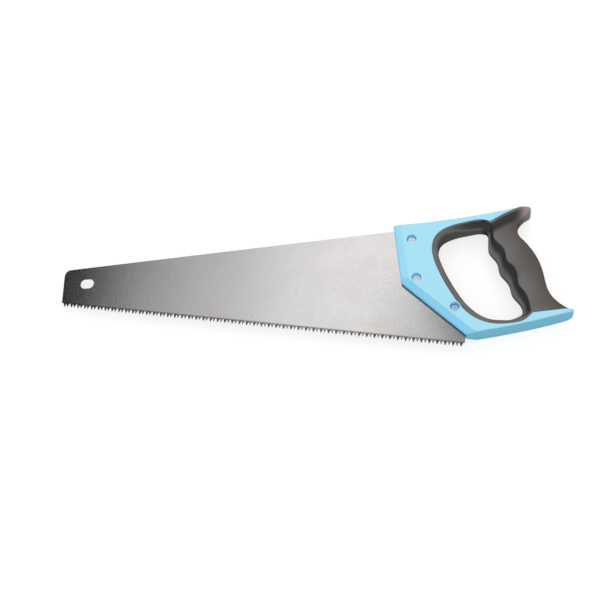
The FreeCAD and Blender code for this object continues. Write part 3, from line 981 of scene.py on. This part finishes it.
def grip_columns(rim, inner):
    """Pairs of points, on the hole's edge and on the outer edge, that the grip's sections join.

    Along the rim the partner is the nearest point of the hole's edge to the rim moved in; along the
    horn, palm and base the finger side is shared out between given places.  The third result is the
    direction into the hole.
    """
    loop = hole_loop(inner)
    along = lengths_along(wrapped(loop))

    def where(place):
        return along[apart(loop, place).argmin()]

    outer = [rim[::-1], arc_through(RIM_TOP, HORN_MIDDLE, HORN_ROOT, 40), spline_through(HORN_TIP, 44),
             spline_through(PALM_POINTS, 190), arc_through(BASE_END, BASE_MIDDLE, RIM_BOTTOM, 40)]
    places = [np.array([where(place) for place in inner])[::-1]]
    start = places[0][-1]
    for line, end in zip(outer[1:], [where(stop) for stop in FINGER_STOPS] + [places[0][0]]):
        if end < start:
            end += along[-1]
        places.append(np.linspace(start, end, len(line)))
        start = end
    spots = np.concatenate([part[:-1] for part in places]) % along[-1]
    outside = np.vstack([part[:-1] for part in outer])
    normals = wrapped(left_normals(loop, closed=True))
    return read_at(spots, along, wrapped(loop)), outside, read_at(spots, along, normals)


def cheek_height(plan, from_rim, from_horn, from_base):
    """Height of the grip's cheek over the plan, from the distances to the rim and to the two seams.

    It is level with the core at the horn and the base, and hollowed between: a low neck under the
    horn, a fuller palm, and the band along the rim that stays level all the way.  The hollow gives out
    towards the horn's tip, which keeps nearly the full height.
    """
    swell = np.interp(from_horn / (from_horn + from_base), *zip(*CHEEK_SWELL))
    fall = 4.5 + 4.0 * (1 - ease(apart(plan, HORN_MIDDLE), 4, 14))
    hollow = ease(from_horn, 2.0, fall) * ease(from_base, 1.2, 7)
    hollow *= 0.2 + 0.8 * ease(apart(plan, HORN_TIP[3]), 2, 8)
    band = 1 - ease(from_rim, 4.2, 5)
    height = HALF_THICKNESS - (HALF_THICKNESS - swell) * hollow
    return height + (HALF_THICKNESS - height) * band


def edge_share(plan):
    """Share of the cheek's height that the rounding along the palm and the horn's tip leaves.

    From the wall's share at the edge it rises like a quarter circle over the radius.  On the horn the
    wall is higher and the radius smaller.
    """
    edge = np.vstack([spline_through(HORN_TIP, 60), spline_through(PALM_POINTS, 240)[1:]])
    at_horn = ease(plan[..., 1], 114, 14)
    at_root = 1 - ease(apart(plan, HORN_ROOT), 1, 5)
    radius = 11.0 - 8.4 * at_horn - 0.9 * at_root
    wall = 0.16 + 0.5 * at_horn + 0.198 * at_root
    share = np.clip(1 - distance_to_line(plan, edge) / radius, 0, 1)
    return wall + (1 - wall) * np.sqrt(1 - share ** 2)


def flank_share(rise, inside, fingers, scoop):
    """Share of the cheek's height between the hole's edge, where rise is 0, and the shoulder.

    It starts at the wall's share, which is lower between the fingers' ridges.  From there it follows a
    quarter circle along the rim, and a hollow curve at the fingers and along the top of the hole.
    """
    crest = np.exp(-(apart(inside[:, None], CREST_SPOTS) / CREST_REACH) ** 2).sum(axis=1)
    wall = 0.68 - 0.1 * (scoop - fingers) - fingers * (0.34 + 0.14 * crest)
    rounding = np.sqrt(1 - (1 - rise) ** 2)
    flank = 0.4 * rise + 0.6 * rise ** 3.5
    return wall + (1 - wall) * (rounding + (flank - rounding) * scoop)


def shoulder_shares(inside, outside, fingers, scoop):
    """Share of each section, from the hole's edge, at which its shoulder lies.

    At the fingers it is where the section crosses the shoulder's line.
    """
    steps = np.linspace(0, 1, 240)
    tried = inside[:, None] + (outside - inside)[:, None] * steps[None, :, None]
    crossing = steps[distance_to_line(tried, spline_through(SHOULDER_POINTS, 300)).argmin(axis=1)]
    return smoothed(np.where(fingers > 0.02, crossing, 0.88 - 0.14 * scoop), 3)


def section_shares(shoulder):
    """Where each section has its points, as shares: closer together where the surface turns."""
    near = np.r_[0, 0.04, np.linspace(0.1, 0.9, 15), 0.94, 0.97, 1.0]
    far = np.r_[0.012, 0.03, (1 - np.cos(np.linspace(0.35, math.pi, 34))) / 2]
    return np.concatenate([near[:, None] * shoulder, shoulder + (1 - shoulder) * far[:, None]])


def mirrored(upper, flip=1):
    """Rows of the upper half, and back through the same rows of the lower half without its ends."""
    return np.concatenate([upper, upper[-2:0:-1] * flip])


def grip_sections(rim_width):
    """The grip's closed sections, as rows of places, and how dark each place is, from 0 to 1.

    fingers is one at the finger side and nought along the rim; scoop is also one at the top of the hole.
    The painted shade lies in the hollow between the hole and the shoulder, and under the horn.
    """
    rim = clear_of_recess(rim_curve())
    inner = inner_rim(rim_width)
    inside, outside, into_hole = grip_columns(rim, inner)
    fingers = smoothed(ease(distance_to_line(inside[None], inner)[0], 0.8, 2.6), 4)
    scoop = ease(outside[:, 0], -34, 24) * ease(outside[:, 1], 111, 6)
    scoop = smoothed(np.maximum(fingers, scoop), 6)
    shoulder = shoulder_shares(inside, outside, fingers, scoop)
    share = section_shares(shoulder)
    rise = np.clip(share / shoulder, 0, 1)
    plan = inside + (outside - inside) * share[..., None]

    horn = arc_through(RIM_TOP, HORN_MIDDLE, HORN_ROOT, 60)
    base = arc_through(BASE_END, BASE_MIDDLE, RIM_BOTTOM, 60)
    from_rim, from_horn, from_base = (distance_to_line(plan, line) for line in (rim, horn, base))
    high = cheek_height(plan, from_rim, from_horn, from_base)
    high *= flank_share(rise, inside, fingers, scoop) * edge_share(plan)
    seam = np.clip(1 - np.minimum(np.minimum(from_rim, from_horn), from_base) / SEAM_ROUNDING, 0, 1)
    high -= SEAM_ROUNDING * (1 - np.sqrt(1 - seam ** 2))
    high *= tip_height(plan)

    level = np.linspace(0, 1, WALL_ROWS, endpoint=False)[:, None]
    bulge = WALL_BULGE * (1 - level ** 6) * (1 - fingers)
    inner_wall = raised(inside + into_hole * bulge[..., None], level * high[0])
    outer_wall = raised(np.tile(outside, (WALL_ROWS, 1, 1)), level * high[-1])[::-1]
    section = mirrored(np.concatenate([inner_wall, raised(plan, high), outer_wall]), (1, 1, -1))

    # painted shade: how dark the grip's rubber is painted beside the hole and under the horn
    sunk = ease(rise + 0.3 * (scoop - fingers), 0.22, 0.45)
    sunk *= 1 - ease((share - shoulder) * apart(outside, inside), 0, 1.5)
    sunk *= scoop * ease(from_rim, 0.9, 1.5)
    under_horn = ease(from_horn, 1.9, 1.2) * (1 - ease(from_horn, 6.5, 5.5))
    under_horn *= 1.1 - 1.1 * ease(plan[..., 0], 31, 11)
    shade = np.clip(np.maximum(sunk, under_horn), 0, 1)
    return section, mirrored(np.pad(shade, ((WALL_ROWS, WALL_ROWS), (0, 0)), mode="edge"))


class HANDSAW_OT_grip(bpy.types.Operator):
    """Build the soft grip: one closed section carried round the hand hole"""
    bl_idname = "hand_saw.grip"
    bl_label = "Soft grip"

    def execute(self, context):
        settings = context.scene.hand_saw
        section, shade = grip_sections(settings.rim_width / MM)
        surface = Surface(shade.ravel())
        surface.add_grid(section, close_rows=True)
        surface.finish("grip_skin", "soft_grip", "grip_rubber", [grip_rubber(settings)], math.radians(50))
        return {"FINISHED"}


# -------- fasteners

HEAD_RADIUS = 4.1
HEAD_DOME = 0.9
HEAD_EDGE = 0.25
CROSS_DEPTH = 1.6
CROSS_RINGS = 27                # rings of the head's top, from its middle, that the cross is cut into
# Radius and height above the far end, from under the head
SCREW_STEM = ((1.75, 0.4), (1.35, 0.0), (0.0, 0.0))
SLEEVE_STEM = ((2.75, 0.2), (2.55, 0.0), (2.05, 0.0), (1.85, 0.2), (1.85, 8.0), (0.0, 8.6))


def cross_relief(places):
    """Depth of the driver's cross: two tapering slots with sloping sides."""
    x, y = np.abs(places).T
    slots = []
    for along, across in ((x, y), (y, x)):
        taper = 1 - 0.45 * np.clip(along / 2.3, 0, 1) ** 2
        slots.append(taper * ease(-across, -0.72, 0.34) * ease(-along, -2.45, 0.6))
    return CROSS_DEPTH * np.maximum(*slots)


def head_profile(top, seat):
    """From the middle of the head out over its dome, round its edge and down to its seat."""
    radius = np.r_[np.linspace(0, 2.6, CROSS_RINGS)[1:], np.linspace(2.75, HEAD_RADIUS - HEAD_EDGE, 7)]
    ball = (HEAD_RADIUS ** 2 + HEAD_DOME ** 2) / (2 * HEAD_DOME)
    height = top - ball + np.sqrt(ball ** 2 - radius ** 2)
    edge = on_circle(np.linspace(math.pi / 2, 0, 6)[1:], HEAD_EDGE)
    edge += (HEAD_RADIUS - HEAD_EDGE, height[-1] - 0.03 - HEAD_EDGE)
    return [(0.0, top), *zip(radius, height), *edge, (HEAD_RADIUS, seat + 0.1), (HEAD_RADIUS - 0.1, seat)]


class HANDSAW_OT_fasteners(bpy.types.Operator):
    """Build the three screws and the three sleeve nuts that they turn into"""
    bl_idname = "hand_saw.fasteners"
    bl_label = "Screws and sleeve nuts"

    def execute(self, context):
        material = plated_steel(context.scene.hand_saw)
        kinds = (("screw", 1, NEAR_RECESS, SCREW_STEM), ("sleeve_nut", -1, FAR_RECESS, SLEEVE_STEM))
        for name in SCREW_NAMES:
            for kind, side, recess, stem in kinds:
                node = f"{kind}_{name}"
                end, top = sorted(side * (corner.z - HEEL[2]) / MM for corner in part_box(node))
                seat = HALF_THICKNESS - recess[name]
                profile = head_profile(top, seat) + [(stem[0][0], seat)]
                profile += [(radius, end + height) for radius, height in stem]
                surface = Surface()
                shape = turned(screw_spot(name), profile, 72, cross_relief, CROSS_RINGS)
                surface.add_grid(shape * (1, 1, side))
                surface.finish(f"{name}_{kind}", node, "plated_steel", [material])
        return {"FINISHED"}


# -------- stage

CAMERA_PLACE = (0.2035, -0.3675, 0.8828)
CAMERA_AIM = (-0.0040, -0.0403, 0.0120)
LAMP_PLACE = (0.25, 1.1, 1.2)
LAMP_SIZE = 0.9
FLOOR_HALF = 6.0
FLOOR_GAP = 0.0002
CARD_LOW = (-2.2, -0.8)
CARD_HIGH = (0.8, 1.6)
CARD_HEIGHT = 0.9
CARD_START = -0.8
# How clear the card is, against the place along X
CARD_STOPS = (
    (-0.645, 0.0), (-0.607, 0.21), (-0.54, 0.40), (-0.46, 0.50), (-0.36, 0.60), (-0.28, 0.77),
    (-0.19, 0.96), (-0.10, 1.0),
)


def floor_material(paleness):
    """A pale floor that keeps the saw's shadow; straight to the camera it is lifted to white."""
    finish = Finish("floor")
    plain = finish.node("ShaderNodeBsdfDiffuse", {}, {"Color": [0.34] * 3})
    shown = finish.node("ShaderNodeBsdfDiffuse", {}, {"Color": [paleness] * 3})
    glow = finish.node("ShaderNodeEmission", {}, {"Color": (1, 1, 1), "Strength": 0.74})
    lifted = finish.node("ShaderNodeAddShader", {}, {0: shown, 1: glow})
    seen = finish.node("ShaderNodeLightPath", output="Is Camera Ray")
    return finish.shade_with(finish.node("ShaderNodeMixShader", {}, {0: seen, 1: plain, 2: lifted}))


def card_material():
    """A black card over the saw, so that the shiny steel darkens towards the toe and a little at the heel.

    It thickens in steps along X towards the toe, and thins out past a slanting line at the other end.
    """
    finish = Finish("card")
    stops = [(1 - x / CARD_START, clear) for x, clear in CARD_STOPS]
    along = finish.remap(finish.axis("X"), CARD_START, 0.0)
    toe = finish.node("ShaderNodeValToRGB", {"stops": stops}, {"Fac": along})
    heel = finish.remap(finish.axis("X") - 0.5 * finish.axis("Y"), -0.215, -0.02, 1.0, 0.36)
    black = finish.node("ShaderNodeEmission", {}, {"Color": (0, 0, 0)})
    clear = finish.node("ShaderNodeBsdfTransparent")
    return finish.shade_with(finish.node("ShaderNodeMixShader", {}, {0: toe * heel, 1: black, 2: clear}))


def flat_sheet(name, low, high, level, material):
    """A level rectangle between two corners in plan, for the stage."""
    mesh = bpy.data.meshes.new(name)
    corners = [(x, y, level) for x, y in ((low[0], low[1]), (high[0], low[1]), high, (low[0], high[1]))]
    mesh.from_pydata(corners, [], [(0, 1, 2, 3)])
    mesh.materials.append(material)
    sheet = link_new(name, mesh)
    return sheet


def light_world(strength):
    """An even dome: white to the camera and in shiny metal, and softer as light."""
    dome = Finish("studio", "worlds", "Background")
    camera = dome.node("ShaderNodeLightPath", output="Is Camera Ray")
    glossy = dome.node("ShaderNodeLightPath", output="Is Glossy Ray")
    dome.set(Color=(1, 1, 1), Strength=dome.remap(camera.maths("MAXIMUM", camera, glossy), 0, 1, strength, 1))
    bpy.context.scene.world = dome.owner


def hang_lamp(power):
    """A large soft lamp that points at the saw and doesn't show in the steel."""
    lamp = bpy.data.lights.new("key", "AREA")
    lamp.shape = "DISK"
    lamp.size = LAMP_SIZE
    lamp.energy = power
    holder = link_new("key", lamp)
    holder.location = LAMP_PLACE
    holder.rotation_euler = (-Vector(LAMP_PLACE)).to_track_quat("-Z", "Y").to_euler()
    holder.visible_glossy = False


class HANDSAW_OT_stage(bpy.types.Operator):
    """Lay the floor, hang the lights and set the camera"""
    bl_idname = "hand_saw.stage"
    bl_label = "Floor, light and camera"

    def execute(self, context):
        settings = context.scene.hand_saw_stage
        flat_sheet("floor", (-FLOOR_HALF, -FLOOR_HALF), (FLOOR_HALF, FLOOR_HALF), CAD_BOX[0][2] - FLOOR_GAP,
                   floor_material(settings.floor_colour))
        card = flat_sheet("card", CARD_LOW, CARD_HIGH, CARD_HEIGHT, card_material())
        card.visible_camera = False
        card.visible_diffuse = False
        card.visible_shadow = False
        light_world(settings.dome)
        hang_lamp(settings.key)

        camera = bpy.data.cameras.new("camera")
        camera.lens = settings.lens
        camera.sensor_width = 36
        forward = (Vector(CAMERA_AIM) - Vector(CAMERA_PLACE)).normalized()
        upward = Vector((-math.sin(settings.turn), math.cos(settings.turn), 0))
        right = forward.cross(upward).normalized()
        turn = Matrix((right, right.cross(forward), -forward)).transposed()
        holder = link_new("camera", camera)
        holder.matrix_world = Matrix.Translation(CAMERA_PLACE) @ turn.to_4x4()
        context.scene.camera = holder
        context.scene.view_settings.view_transform = "Standard"
        return {"FINISHED"}


# -------- panel and registration

OPERATORS = (HANDSAW_OT_blade, HANDSAW_OT_core, HANDSAW_OT_grip, HANDSAW_OT_fasteners, HANDSAW_OT_stage)


class HANDSAW_PT_build(bpy.types.Panel):
    """Buttons and settings of the hand saw"""
    bl_idname = "HANDSAW_PT_build"
    bl_label = "Hand saw"
    bl_space_type = "VIEW_3D"
    bl_region_type = "UI"
    bl_category = "Hand saw"

    def draw(self, context):
        for settings in (context.scene.hand_saw, context.scene.hand_saw_stage):
            for name in settings.__annotations__:
                self.layout.prop(settings, name)
        for operator in OPERATORS:
            self.layout.operator(operator.bl_idname)


CLASSES = (SawSettings, StageSettings, *OPERATORS, HANDSAW_PT_build)


def register():
    for part in CLASSES:
        bpy.utils.register_class(part)
    bpy.types.Scene.hand_saw = PointerProperty(type=SawSettings)
    bpy.types.Scene.hand_saw_stage = PointerProperty(type=StageSettings)


def unregister():
    del bpy.types.Scene.hand_saw_stage
    del bpy.types.Scene.hand_saw
    for part in reversed(CLASSES):
        bpy.utils.unregister_class(part)


def main():
    register()
    for operator in OPERATORS:
        group, name = operator.bl_idname.split(".")
        getattr(getattr(bpy.ops, group), name)()


if __name__ == "__main__":
    main()
